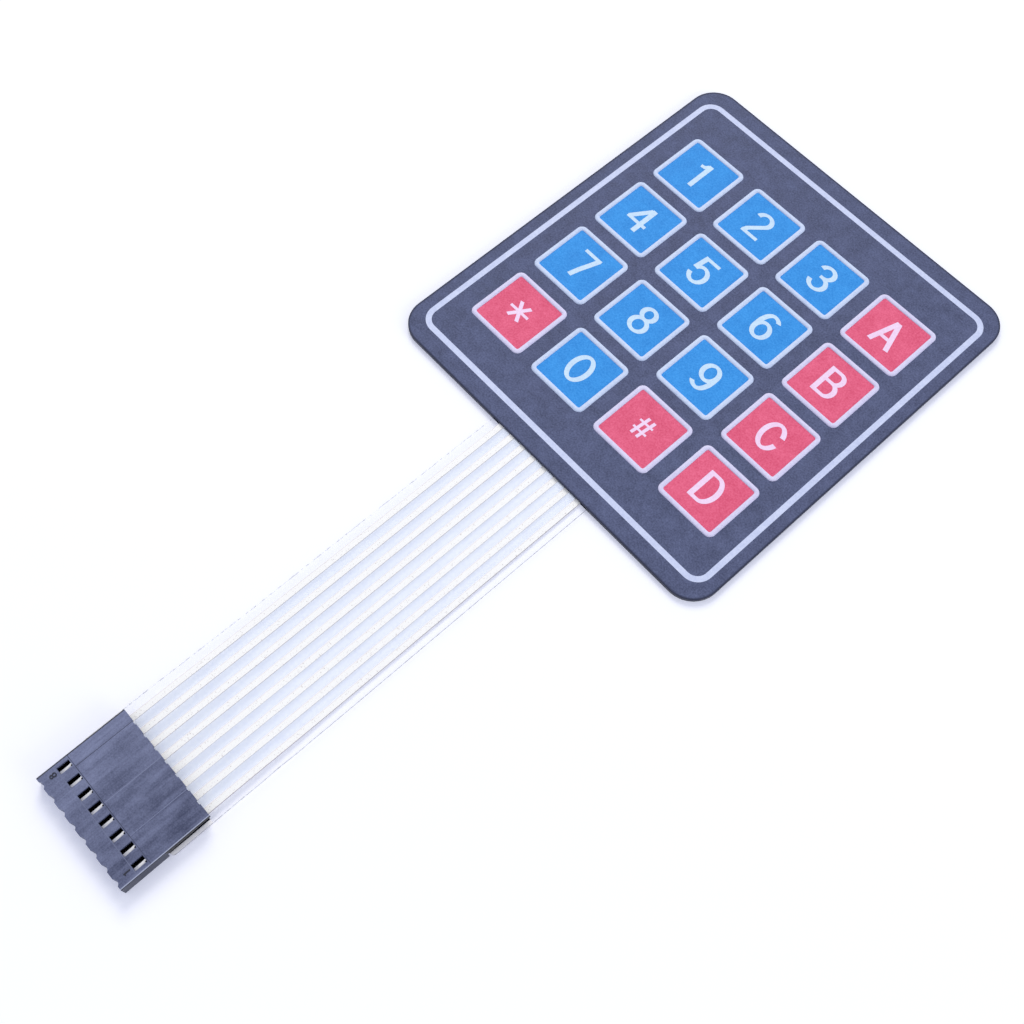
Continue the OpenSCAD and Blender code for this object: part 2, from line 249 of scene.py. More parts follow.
def arc(x, y, radius_x, radius_y, start, end, steps=18):
    """Points along part of an ellipse, from one angle to another in degrees."""
    angles = [math.radians(start + (end - start) * step / steps) for step in range(steps + 1)]
    return [(x + radius_x * math.cos(a), y + radius_y * math.sin(a)) for a in angles]


def ring(x, y, radius_x, radius_y):
    """Points round a whole ellipse, the first one repeated at the end."""
    return arc(x, y, radius_x, radius_y, 0, 360, steps=36)


def turned(strokes):
    """Strokes turned upside down."""
    return [[(-x, -y) for x, y in stroke] for stroke in strokes]


SIX = [
    arc(0, 1.6, 1.36, 1.015, 18, 90) + arc(0, 0, 1.41, 2.615, 90, 180)[1:] + [(-1.41, -1)],
    ring(0, -1, 1.41, 1.615),
]
# Middle lines of the strokes of each legend, from the legend's own middle, key by key
LEGENDS = {
    "1": [
        [(0.53, 2.925), (0.53, -2.925)],
        [(-1.05, 1.8), (-0.4, 1.87), (0, 2.1), (0.35, 2.65)],
    ],
    "2": [
        arc(0, 1.3, 1.42, 1.315, 172, -38) + [(-1, -1.8), (-1.3, -2.6)],
        [(-1.72, -2.615), (1.8, -2.615)],
    ],
    "3": [
        arc(-0.05, 1.38, 1.36, 1.235, 168, -90) + [(-0.6, 0.145)],
        [(-0.6, 0.145)] + arc(-0.05, -1.235, 1.5, 1.38, 90, -176),
    ],
    "A": [
        [(-1.78, -2.925), (-0.06, 2.925)],
        [(1.78, -2.925), (0.06, 2.925)],
        [(-1.25, -0.95), (1.25, -0.95)],
    ],
    "4": [
        [(0.92, 2.925), (0.92, -2.925)],
        [(-2.05, -1), (2.1, -1)],
        [(-1.72, -0.95), (0.68, 2.65)],
    ],
    "5": [
        [(1.75, 2.615), (-1.05, 2.615), (-1.4, -0.15)],
        arc(0.04, -0.91, 1.52, 1.705, 152, -168),
    ],
    "6": SIX,
    "B": [
        [(-1.52, 2.925), (-1.52, -2.925)],
        [(-1.5, 2.615), (0.2, 2.615)] + arc(0.2, 1.42, 1.06, 1.195, 90, -90)[1:] + [(-1.5, 0.225)],
        [(-1.5, 0.225), (0.3, 0.225)] + arc(0.3, -1.195, 1.2, 1.42, 90, -90)[1:] + [(-1.5, -2.615)],
    ],
    "7": [
        [(-1.8, 2.615), (1.9, 2.615)],
        [(1.5, 2.6), (0.92, 0.9), (0.22, -1.1), (-0.26, -2.925)],
    ],
    "8": [ring(0, 1.41, 1.24, 1.205), ring(0, -1.205, 1.48, 1.41)],
    "9": turned(SIX),
    "C": [arc(0.1, -0.04, 1.65, 2.6, 20, 340, steps=30)],
    "star": [
        [(-2.05, 0), (2.05, 0)],
        [(-1.1, -1.74), (1.1, 1.74)],
        [(1.1, -1.74), (-1.1, 1.74)],
    ],
    "0": [ring(0, 0, 1.62, 2.615)],
    "hash": [
        [(-0.8, -1.97), (-0.34, 1.97)],
        [(0.38, -1.97), (0.84, 1.97)],
        [(-1.42, -0.78), (1.4, -0.78)],
        [(-1.42, 0.8), (1.4, 0.8)],
    ],
    "D": [
        [(-1.56, 2.925), (-1.56, -2.925)],
        [(-1.55, 2.615), (-0.1, 2.615)] + arc(-0.1, 0, 1.67, 2.615, 90, -90, steps=24)[1:]
        + [(-1.55, -2.615)],
    ],
}
# Legends that sit to one side of the others, and the share of the nib for those drawn thinner
LEGEND_SHIFT = {"A": 0.07, "4": -0.13, "7": 0.25, "8": 0.3, "9": 0.26}
LEGEND_NIB = {"hash": 0.62, "star": 0.8}


def draw_stroke(points, height):
    """One stroke in the mesh that is open: a wall that stands on the stroke's middle line."""
    x, y = points[0]
    bpy.ops.mesh.primitive_plane_add(size=PEN_DOT * MM, location=metres(x, y, 0))
    bpy.ops.mesh.merge(type="CENTER")
    for next_x, next_y in points[1:]:
        bpy.ops.mesh.extrude_vertices_move(
            TRANSFORM_OT_translate={"value": metres(next_x - x, next_y - y, 0)})
        x, y = next_x, next_y
    bpy.ops.mesh.select_linked()
    if math.dist(points[0], points[-1]) < PEN_CLOSE:
        bpy.ops.mesh.remove_doubles(threshold=PEN_CLOSE * MM)
    bpy.ops.mesh.extrude_edges_move(TRANSFORM_OT_translate={"value": metres(0, 0, height)})


def draw_legend(name, strokes, nib, place, size, height):
    """A legend drawn with the pen, of one closed mesh, standing on a point."""
    squeeze = NIB_H / NIB_W
    legend = start_plane(name, 1, 1, 0)
    bpy.ops.mesh.delete(type="VERT")
    for stroke in strokes:
        draw_stroke([(x * squeeze, y) for x, y in stroke], height / size)
    bpy.ops.object.mode_set(mode="OBJECT")
    thicken(legend, NIB_H * nib, 0)
    bpy.ops.object.mode_set(mode="EDIT")
    face_outwards()
    bpy.ops.mesh.intersect_boolean(operation="UNION", solver="EXACT", use_self=True)
    bpy.ops.mesh.select_all(action="SELECT")
    bpy.ops.transform.resize(value=(size / squeeze, size, size), center_override=(0, 0, 0))
    bpy.ops.transform.translate(value=metres(*place))
    close_edit()
    return legend


def build_legends():
    """White legends on the keys."""
    drawn = []
    for (sign, strokes), (x, y) in zip(LEGENDS.items(), key_places()):
        place = (x + LEGEND_X + LEGEND_SHIFT.get(sign, 0), y + LEGEND_Y, PANEL_Z + PRINT_T)
        nib = LEGEND_NIB.get(sign, 1)
        drawn.append(draw_legend("legend_" + sign, strokes, nib, place, 1, PRINT_T))
    legends = join("key_legends", drawn)
    paint(legends, "legend_white")
    return legends


def build_pin_marks():
    """Raised marks of the first and the last pin on the connector, upside down from its front,
    painted dark as shade.
    """
    marks = []
    for sign, way in (("8", 0), ("1", WAYS - 1)):
        strokes, place = turned(LEGENDS[sign]), (way_x(way), MARK_Y, CONN_TOP)
        marks.append(draw_legend("mark_" + sign, strokes, MARK_NIB, place, MARK_SIZE, MARK_T))
    pin_marks = join("pin_marks", marks)
    paint(pin_marks, "mark_shade_plastic")
    return pin_marks


def share_between(value, start, end):
    """How far a value is on its way from start to end, from 0 to 1."""
    return min(1, max(0, (value - start) / (end - start)))


def tail_z(y):
    """Height of the tail's underside: level, then a smooth slope up to the crimps."""
    share = share_between(y, RISE_START, RISE_END)
    return CIRCUIT_Z + (CRIMP_Z - CIRCUIT_Z) * (1 - math.cos(math.pi * share)) / 2


def ripple(x, y):
    """Lift of the tail's right edge, which buckles in front of the connector."""
    across = share_between(x, RIPPLE_INNER, TAIL_RIGHT)
    swell = math.sin(math.pi * share_between(y, RIPPLE_START, RIPPLE_END)) ** 2
    wave = math.sin(2 * math.pi * (RIPPLE_START - y) / RIPPLE_WAVE)
    return RIPPLE_H * across ** 2 * swell * wave


def tail_stations():
    """Places along the tail where its sheet may bend, from the pad to the end of the films."""
    stations = [TAIL_START]
    for end, steps in ((RISE_START, LEVEL_STEPS), (RISE_END, SLOPE_STEPS), (TAIL_END, CRIMP_STEPS)):
        start = stations[-1]
        stations += [start + (end - start) * step / steps for step in range(1, steps + 1)]
    return stations


def build_laminate():
    """Circuit films and spacer as one clear sheet: the pad's part, and the tail from its edge."""
    laminate = start_plane("circuit_laminate", PAD_W, PAD_L, CIRCUIT_Z)
    round_corners(PAD_R, PAD_CORNER_STEPS)
    for x in (TAIL_LEFT, *RIPPLE_CUTS, TAIL_RIGHT):
        bpy.ops.mesh.select_all(action="SELECT")
        bpy.ops.mesh.bisect(plane_co=metres(x, 0, 0), plane_no=(1, 0, 0))
    select_where(laminate, lambda p: abs(p.y - TAIL_START) < NEAR
                 and TAIL_LEFT - NEAR < p.x < TAIL_RIGHT + NEAR)
    stations = tail_stations()
    for y, next_y in zip(stations, stations[1:]):
        move = metres(0, next_y - y, tail_z(next_y) - tail_z(y))
        bpy.ops.mesh.extrude_edges_move(TRANSFORM_OT_translate={"value": move})
    select_where(laminate, lambda p: abs(p.y - TAIL_END) < NEAR
                 and not TAIL_LEFT + NEAR < p.x < TAIL_RIGHT - NEAR)
    round_corners(FILM_CORNER, FILM_CORNER_STEPS)
    close_edit()
    for vertex in laminate.data.vertices:
        vertex.co.z += ripple(vertex.co.x / MM, vertex.co.y / MM) * MM
    paint(laminate, "clear_film", "film_edge")
    thicken(laminate, CIRCUIT_T, 1, edge_finish=1)
    bpy.ops.object.shade_smooth_by_angle(angle=math.radians(FILM_SMOOTH))
    return laminate


# Materials

# Colours in screen values, pairs of them from dark to light
WHITE = (192, 201, 235), (216, 224, 251)
WHITE_OVER_RED = (246, 205, 236), (255, 228, 255)
WHITE_OVER_BLUE = (190, 217, 246), (212, 240, 255)
BLUE = (30, 132, 214), (68, 163, 243)
RED = (214, 74, 110), (244, 113, 147)
OVERLAY, OVERLAY_EDGE_SHADE = ((58, 65, 95), (100, 108, 143)), (40, 45, 70)
# Grey-black adhesive, whose darkness also paints shade on the pad's cut edge
ADHESIVE_AND_SHADE = (44, 47, 66), (60, 63, 82)
PAPER, PAPER_EDGE_SHADE = ((232, 228, 216), (246, 243, 234)), (36, 39, 58)
SILVER = (204, 196, 196), (255, 254, 252)
SILVER_LEFT, SILVER_RIGHT_SHADOW = (240, 233, 233), (158, 152, 160)
# Bluish film, whose milk between the conductors paints their shadows paler and lavender
FILM = (225, 234, 253), (239, 246, 255)
FILM_PAINTED_SHEEN, FILM_HOOD_SHADE = (255, 253, 255), (18, 20, 32)
STACK_EDGE_SHADE, TAIL_EDGE = ((26, 29, 48), (38, 42, 64)), (104, 100, 110)
HOUSING = (50, 57, 88), (122, 129, 162)
# Housing plastic painted darker on the pin marks, as the shade round raised marks
MARK_SHADE = (22, 25, 42), (36, 40, 60)
TIN = (196, 198, 206), (234, 234, 240)
TIN_SHADED, TIN_INSIDE_SHADE = (112, 115, 138), (26, 27, 34)

# Share of the mottle in a tone, and strength of all relief
MOTTLE_SHARE, BUMP_STRENGTH = 0.4, 0.3
# Width of the painted shade along the overlay's edge, half width of the conductors' lines, top of
# the liner's face
OVERLAY_SHADE_W, SILVER_LINE, PAPER_FACE_Z = 0.4, 0.1, 0.005
# Grain between which the silver goes from its specks to bright
SILVER_SPECKS = (0.27, 0.4)

# How milky the film is between the conductors, as painted pale shade, over them, in its painted
# sheen by the hood, and at a glance
MILK_AND_SHADE_BETWEEN, MILK_OVER, MILK_PAINTED_SHEEN, MILK_AT_GLANCE = 0.6, 0.06, 0.9, 0.75
GLANCE_BLEND, GLANCE_START = 0.25, 0.3
# How far inside the hood's rear edge the film gets its painted sheen and painted shade
HOOD_COVER = 0.3
# Cut edge of the film: grain and share of its dashes, then where and how much shows at the right
DASH_GRAIN, DASHES_SHOWN = (0.44, 0.6), 0.45
RIGHT_EDGE_X, RIGHT_SHOWN, RIGHT_LEAST = (-5, 5), 0.9, 0.3

# Painted light on the housing, paler at its left down to a place near its right, and shares of what
# varies its tone
HOUSING_PAINTED_LIGHT, HOUSING_PAINTED_LIGHT_X = (-0.07, -0.26), (CONN_LEFT, 4)
GRAIN_SHARE, FLOW_SHARE, SCRATCH_SHARE = 0.5, 0.7, 0.2
FLOW_STRETCH, SCRATCH_STRETCH = (1, 0.15, 1), (1, 0.03, 1)
# How far below the housing's top its top face counts, and the line along its raised panel
TOP_DEPTH = 0.05
PANEL_LINE = (PANEL_LEFT + PANEL_RIGHT) / 2 + 0.4

# Terminals: shade to the right, across each way, and to the front, along each window
TIN_RIGHT, TIN_FRONT = (0.6, 0.73), (WINDOW_FRONT + 0.1, WINDOW_REAR - 0.7)
TIN_FRONT_SHADE = 0.7
# Notch beside the catch of each terminal, painted black as shade, and the roughness of what is dark
NOTCH_Y, NOTCH_ACROSS = (WINDOW_REAR - 0.25, WINDOW_REAR + 0.1), 0.61
INSIDE_ROUGH = 0.6


def build_grain_group():
    """Fine grain and broad mottle over a surface, each from 0 to 1, and both mixed."""
    group = bpy.data.node_groups.new("film_grain", "ShaderNodeTree")
    group.interface.new_socket("Place", in_out="INPUT", socket_type="NodeSocketVector")
    for name in ("Grains per mm", "Mottles per mm"):
        group.interface.new_socket(name, in_out="INPUT", socket_type="NodeSocketFloat")
    for name in ("Grain", "Mottle", "Tone"):
        group.interface.new_socket(name, in_out="OUTPUT", socket_type="NodeSocketFloat")
    tree_nodes, links = group.nodes, group.links
    entry, leave = tree_nodes.new("NodeGroupInput"), tree_nodes.new("NodeGroupOutput")
    scale = tree_nodes.new("ShaderNodeMapping")
    scale.inputs["Scale"].default_value = (1 / MM, 1 / MM, 1 / MM)
    links.new(entry.outputs["Place"], scale.inputs["Vector"])
    tone = tree_nodes.new("ShaderNodeMix")
    tone.inputs["Factor"].default_value = MOTTLE_SHARE
    for size, detail, output, mixed in (
        ("Grains per mm", 2, "Grain", "A"), ("Mottles per mm", 3, "Mottle", "B"),
    ):
        noise = tree_nodes.new("ShaderNodeTexNoise")
        noise.inputs["Detail"].default_value = detail
        links.new(scale.outputs["Vector"], noise.inputs["Vector"])
        links.new(entry.outputs[size], noise.inputs["Scale"])
        links.new(noise.outputs["Fac"], leave.inputs[output])
        links.new(noise.outputs["Fac"], tone.inputs[mixed])
    links.new(tone.outputs["Result"], leave.inputs["Tone"])
    return group


def start_material(name):
    """A new material, its node tree and its shader."""
    material = bpy.data.materials.new(name)
    material.use_nodes = True
    tree = material.node_tree
    return material, tree, tree.nodes["Principled BSDF"]


def add_grain(tree, grains, mottles, stretch=(1, 1, 1)):
    """The grain group in a material, on Object coordinates that may be drawn out along an axis."""
    place = tree.nodes.new("ShaderNodeTexCoord")
    scale = tree.nodes.new("ShaderNodeMapping")
    scale.inputs["Scale"].default_value = stretch
    grain = tree.nodes.new("ShaderNodeGroup")
    grain.node_tree = grain_group
    grain.inputs["Grains per mm"].default_value = grains
    grain.inputs["Mottles per mm"].default_value = mottles
    tree.links.new(place.outputs["Object"], scale.inputs["Vector"])
    tree.links.new(scale.outputs["Vector"], grain.inputs["Place"])
    return grain


def maths(tree, operation, *values):
    """The result of a calculation with numbers and sockets."""
    node = tree.nodes.new("ShaderNodeMath")
    node.operation = operation
    for socket, value in zip(node.inputs, values):
        if isinstance(value, (int, float)):
            socket.default_value = value
        else:
            tree.links.new(value, socket)
    return node.outputs["Value"]


def both(tree, one, other):
    """A mask where two masks hold, or their product."""
    return maths(tree, "MULTIPLY", one, other)


def either(tree, one, other):
    """A mask where one of two masks holds, or the greater of two values."""
    return maths(tree, "MAXIMUM", one, other)


def opposite(tree, mask):
    """A mask where another one doesn't hold."""
    return maths(tree, "SUBTRACT", 1, mask)


def above(tree, value, limit):
    """A mask where a value is over a limit."""
    return maths(tree, "GREATER_THAN", value, limit)


def below(tree, value, limit):
    """A mask where a value is under a limit."""
    return maths(tree, "LESS_THAN", value, limit)


def band(tree, value, low, high):
    """A mask where a value lies between two limits."""
    return both(tree, above(tree, value, low), below(tree, value, high))


def axes(tree, names):
    """Object coordinates of a material along the named axes, in millimetres."""
    place = tree.nodes.new("ShaderNodeTexCoord")
    split = tree.nodes.new("ShaderNodeSeparateXYZ")
    tree.links.new(place.outputs["Object"], split.inputs["Vector"])
    return [maths(tree, "DIVIDE", split.outputs[name], MM) for name in names]


def across_way(tree, x):
    """Place across each way of the tail, from 0 at its left to 1 at its right."""
    from_left = maths(tree, "SUBTRACT", x, way_x(-0.5))
    return maths(tree, "FRACT", maths(tree, "DIVIDE", from_left, PITCH))


def ramp(tree, source, low, high, start=0.3, end=0.7):
    """A value carried from two limits to two colours or two numbers."""
    if isinstance(low, tuple):
        node = tree.nodes.new("ShaderNodeValToRGB")
        for element, place, colour in zip(node.color_ramp.elements, (start, end), (low, high)):
            element.position, element.color = place, colour
        tree.links.new(source, node.inputs["Fac"])
        return node.outputs["Color"]
    node = tree.nodes.new("ShaderNodeMapRange")
    limits = {"From Min": start, "From Max": end, "To Min": low, "To Max": high}
    for socket, value in limits.items():
        node.inputs[socket].default_value = value
    tree.links.new(source, node.inputs["Value"])
    return node.outputs["Result"]


def tint(tree, colour, share, other):
    """A colour mixed by a share with another. Share and other are plain or from sockets."""
    mix = tree.nodes.new("ShaderNodeMix")
    mix.data_type = "RGBA"
    tree.links.new(colour, mix.inputs[6])
    for socket, value in ((mix.inputs[0], share), (mix.inputs[7], other)):
        if isinstance(value, (float, tuple)):
            socket.default_value = value
        else:
            tree.links.new(value, socket)
    return mix.outputs[2]


def grained_colour(tree, grain, colours):
    """Two colours, dark and light, mixed by the grain."""
    dark, light = colours
    return ramp(tree, grain.outputs["Tone"], linear(*dark), linear(*light))


def add_bump(tree, source, shader, depth):
    """Small relief from a value."""
    bump = tree.nodes.new("ShaderNodeBump")
    bump.inputs["Strength"].default_value = BUMP_STRENGTH
    bump.inputs["Distance"].default_value = depth * MM
    tree.links.new(source, bump.inputs["Height"])
    tree.links.new(bump.outputs["Normal"], shader.inputs["Normal"])


def set_surface(tree, shader, grain, colour, rough, relief=0, specular=0.5):
    """A shader's colour, its gloss, which varies with the mottle, and relief from the grain."""
    tree.links.new(colour, shader.inputs["Base Color"])
    tree.links.new(ramp(tree, grain.outputs["Mottle"], *rough), shader.inputs["Roughness"])
    if relief:
        add_bump(tree, grain.outputs["Grain"], shader, relief)
    shader.inputs["Specular IOR Level"].default_value = specular


def grained_material(name, colours, grains, mottles, rough, relief, specular=0.5):
    """A finish whose colour and gloss vary with its grain, with a little relief."""
    material, tree, shader = start_material(name)
    grain = add_grain(tree, grains, mottles)
    colour = grained_colour(tree, grain, colours)
    set_surface(tree, shader, grain, colour, rough, relief, specular)
    return material


def overlay_film():
    """Matt dark film with a fine grain, and painted shade along its cut edge."""
    material, tree, shader = start_material("overlay_film")
    grain = add_grain(tree, grains=3.6, mottles=0.5)
    colour = grained_colour(tree, grain, OVERLAY)
    squares = []
    for value, size in zip(axes(tree, "XY"), (PAD_W, PAD_L)):
        reach = maths(tree, "SUBTRACT", maths(tree, "ABSOLUTE", value), size / 2 - PAD_R)
        corner = either(tree, reach, 0)
        squares.append(both(tree, corner, corner))
    from_corner = maths(tree, "SQRT", maths(tree, "ADD", *squares))
    # Painted shade along the pad's edge, where its side lies in shade
    start, end = PAD_R - OVERLAY_SHADE_W, PAD_R - OVERLAY_SHADE_W / 4
    edge = ramp(tree, from_corner, 0, 1, start, end)
    colour = tint(tree, colour, edge, linear(*OVERLAY_EDGE_SHADE))
    set_surface(tree, shader, grain, colour, rough=(0.62, 0.74), relief=0.02, specular=0.25)
    return material


def key_white(name, strength):
    """White print on the keys, through which the red or the blue below shows a little."""
    material, tree, shader = start_material(name)
    grain = add_grain(tree, grains=3.2, mottles=0.6)
    white, over_red, over_blue = (
        grained_colour(tree, grain, colours)
        for colours in (WHITE, WHITE_OVER_RED, WHITE_OVER_BLUE))
    x, y = axes(tree, "XY")
    last_column = above(tree, x, KEY_PITCH_X)
    last_row = below(tree, y, -KEY_PITCH_Y - KEY_DROP)
    beside_zero = either(tree, below(tree, x, -KEY_PITCH_X), above(tree, x, 0))
    on_red = either(tree, last_column, both(tree, last_row, beside_zero))
    shown = tint(tree, over_blue, on_red, over_red)
    colour = tint(tree, white, strength, shown)
    set_surface(tree, shader, grain, colour, rough=(0.5, 0.6), relief=0.01, specular=0.3)
    return material


def silver_ink():
    """Pale silver print with fine dark specks, a faint left edge line and a painted shadow line at
    the right.
    """
    material, tree, shader = start_material("silver_ink")
    grain = add_grain(tree, grains=5, mottles=0.8)
    dark, light = SILVER
    colour = ramp(tree, grain.outputs["Grain"], linear(*dark), linear(*light), *SILVER_SPECKS)
    across = across_way(tree, *axes(tree, "X"))
    # A faint pinkish line at each conductor's left edge, painted shadow at its right edge
    for edge, line_colour in ((-TRACE_W / 2, SILVER_LEFT), (TRACE_W / 2, SILVER_RIGHT_SHADOW)):
        low, high = edge - SILVER_LINE, edge + SILVER_LINE
        line = band(tree, across, 0.5 + low / PITCH, 0.5 + high / PITCH)
        colour = tint(tree, colour, line, linear(*line_colour))
    set_surface(tree, shader, grain, colour, rough=(0.4, 0.55), relief=0.01)
    return material


def seen_share(tree):
    """1 for every ray but those that look for a lamp, so that light falls through a film."""
    path = tree.nodes.new("ShaderNodeLightPath")
    return opposite(tree, path.outputs["Is Shadow Ray"])


def clear_film():
    """Clear polyester, milky at a glance and between the conductors as painted pale shade, painted
    sheen by the hood, black shade under it.
    """
    material, tree, shader = start_material("clear_film")
    grain = add_grain(tree, grains=2, mottles=0.3)
    x, y = axes(tree, "XY")
    half_trace = TRACE_W / 2 / PITCH
    on_trace = band(tree, across_way(tree, x), 0.5 - half_trace, 0.5 + half_trace)
    margin = opposite(tree, band(tree, x, way_x(0), way_x(WAYS - 1)))
    # Film inside the connector: painted sheen beside the hood, painted shade under it
    sheen_and_shade_zone = below(tree, y, RISE_END - HOOD_COVER)
    # Painted shade: the film is black and opaque under the hood
    painted_hood_shade = both(tree, sheen_and_shade_zone, band(tree, x, CONN_LEFT, CONN_RIGHT))
    # Milk between the conductors is lit and casts no shadow: painted pale lavender shade
    milk_and_painted_light = ramp(tree, either(tree, on_trace, margin), MILK_AND_SHADE_BETWEEN, MILK_OVER, start=0, end=1)
    milk_and_painted_light = either(tree, milk_and_painted_light, both(tree, sheen_and_shade_zone, MILK_PAINTED_SHEEN))
    facing = tree.nodes.new("ShaderNodeLayerWeight")
    facing.inputs["Blend"].default_value = GLANCE_BLEND
    glance = ramp(tree, facing.outputs["Facing"], 0, MILK_AT_GLANCE, GLANCE_START, 1)
    side = tree.nodes.new("ShaderNodeNewGeometry")
    outer = opposite(tree, side.outputs["Backfacing"])
    haze_and_painted_light = both(tree, both(tree, either(tree, glance, milk_and_painted_light), outer), seen_share(tree))
    colour = tint(tree, grained_colour(tree, grain, FILM), sheen_and_shade_zone, linear(*FILM_PAINTED_SHEEN))
    colour = tint(tree, colour, painted_hood_shade, linear(*FILM_HOOD_SHADE))
    set_surface(tree, shader, grain, colour, rough=(0.12, 0.22))
    tree.links.new(either(tree, haze_and_painted_light, painted_hood_shade), shader.inputs["Alpha"])
    return material


def film_edge():
    """Cut edge of the films: painted shade in the pad, grey along the tail, and in dashes at its
    left.
    """
    material, tree, shader = start_material("film_edge")
    grain = add_grain(tree, grains=2, mottles=0.3)
    x, y = axes(tree, "XY")
    in_tail = below(tree, y, TAIL_START - NEAR)
    colour = tint(tree, grained_colour(tree, grain, STACK_EDGE_SHADE), in_tail, linear(*TAIL_EDGE))
    dashes = ramp(tree, grain.outputs["Grain"], 0, DASHES_SHOWN, *DASH_GRAIN)
    at_right = ramp(tree, x, 0, RIGHT_SHOWN, *RIGHT_EDGE_X)
    broken = both(tree, at_right, ramp(tree, grain.outputs["Grain"], RIGHT_LEAST, 1))
    shown = both(tree, either(tree, dashes, broken), seen_share(tree))
    set_surface(tree, shader, grain, colour, rough=(0.3, 0.5))
    tree.links.new(either(tree, shown, opposite(tree, in_tail)), shader.inputs["Alpha"])
    return material


def housing_plastic():
    """Dark moulded plastic with streaks and mould lines, painted paler to the left, painted shade
    and highlights on edges.
    """
    material, tree, shader = start_material("housing_plastic")
    grain = add_grain(tree, grains=4.5, mottles=0.35)
    flow = add_grain(tree, grains=0.9, mottles=0.3, stretch=FLOW_STRETCH)
    scratches = add_grain(tree, grains=4, mottles=2, stretch=SCRATCH_STRETCH)
    x, y, z = axes(tree, "XYZ")
    tone = ramp(tree, x, *HOUSING_PAINTED_LIGHT, *HOUSING_PAINTED_LIGHT_X)
    varied = (GRAIN_SHARE, grain), (FLOW_SHARE, flow), (SCRATCH_SHARE, scratches)
    for share, source in varied:
        tone = maths(tree, "MULTIPLY_ADD", source.outputs["Tone"], share, tone)
    dark, light = HOUSING
    colour = ramp(tree, tone, linear(*dark), linear(*light))
    top = above(tree, z, CONN_TOP - TOP_DEPTH)
    upper = above(tree, z, CONN_TOP - CONN_BEVEL - NEAR)
    side = below(tree, z, CONN_TOP - CONN_BEVEL / 2)
    hood = both(tree, side, above(tree, y, CONN_FRONT + BLOCK_L))
    behind = both(tree, top, above(tree, y, PANEL_FRONT))
    # Lines and edges, most of them painted shade or highlight: the axis across each, its place, its
    # reach to both sides, where, and colour
    for value, place, reach, where, line_colour in (
        # Painted shade on the raised panel's left step, a mould line, a painted highlight on its
        # right step
        (x, PANEL_LEFT, (0.08, 0.02), behind, (42, 47, 72)),
        (x, PANEL_LINE, (0.05, 0.05), behind, (120, 126, 156)),
        (x, PANEL_RIGHT, (0.05, 0.05), behind, (132, 138, 168)),
        # A paler line at the windows' front edge, a darker line at the panel's front step
        (y, WINDOW_FRONT, (0.12, -0.04), top, (108, 114, 142)),
        (y, PANEL_FRONT, (0.06, 0.04), top, (62, 68, 94)),
        # Painted shade on the left edge, painted highlight on the right edge
        (x, CONN_LEFT, (0.1, CONN_BEVEL + 0.08), upper, (30, 33, 50)),
        (x, CONN_RIGHT, (CONN_BEVEL + 0.02, -0.06), upper, (166, 172, 196)),
        # Painted shade on the right wall, black painted shade on the hood's side
        (x, CONN_RIGHT, (0.1, 0.1), side, (44, 48, 66)),
        (x, CONN_RIGHT, (0.1, 0.1), hood, (10, 11, 20)),
    ):
        line = both(tree, band(tree, value, place - reach[0], place + reach[1]), where)
        colour = tint(tree, colour, line, linear(*line_colour))
    set_surface(tree, shader, grain, colour, rough=(0.34, 0.5), relief=0.01, specular=0.4)
    return material


def tinned_metal():
    """Tinned spring metal, clouded, painted greyer to the right and front and black in the pin
    boxes, as shade.
    """
    material, tree, shader = start_material("tinned_metal")
    grain = add_grain(tree, grains=4, mottles=0.9)
    x, y, z = axes(tree, "XYZ")
    across = across_way(tree, x)
    to_right = ramp(tree, across, 0, 1, *TIN_RIGHT)
    to_front = ramp(tree, y, TIN_FRONT_SHADE, 0, *TIN_FRONT)
    shaded = either(tree, to_right, to_front)
    in_box = both(tree, below(tree, y, BOX_REAR), below(tree, z, BOX_TOP))
    notch = both(tree, band(tree, y, *NOTCH_Y), above(tree, across, NOTCH_ACROSS))
    # Painted shade: black in the pin boxes and in the notch beside each catch
    inside = either(tree, in_box, notch)
    colour = tint(tree, grained_colour(tree, grain, TIN), shaded, linear(*TIN_SHADED))
    colour = tint(tree, colour, inside, linear(*TIN_INSIDE_SHADE))
    tree.links.new(colour, shader.inputs["Base Color"])
    clouded = ramp(tree, grain.outputs["Mottle"], 0.18, 0.34)
    rough = either(tree, clouded, both(tree, inside, INSIDE_ROUGH))
    tree.links.new(rough, shader.inputs["Roughness"])
    shader.inputs["Metallic"].default_value = 1
    return material


def liner_paper():
    """Release paper, with painted shade on its cut edge like the rest of the pad's stack."""
    material, tree, shader = start_material("liner_paper")
    grain = add_grain(tree, grains=2.2, mottles=0.25)
    (z,) = axes(tree, "Z")
    # Painted shade on the cut edge, above the paper's face
    edge = above(tree, z, PAPER_FACE_Z)
    colour = tint(tree, grained_colour(tree, grain, PAPER), edge, linear(*PAPER_EDGE_SHADE))
    set_surface(tree, shader, grain, colour, rough=(0.6, 0.75), relief=0.02, specular=0.3)
    return material


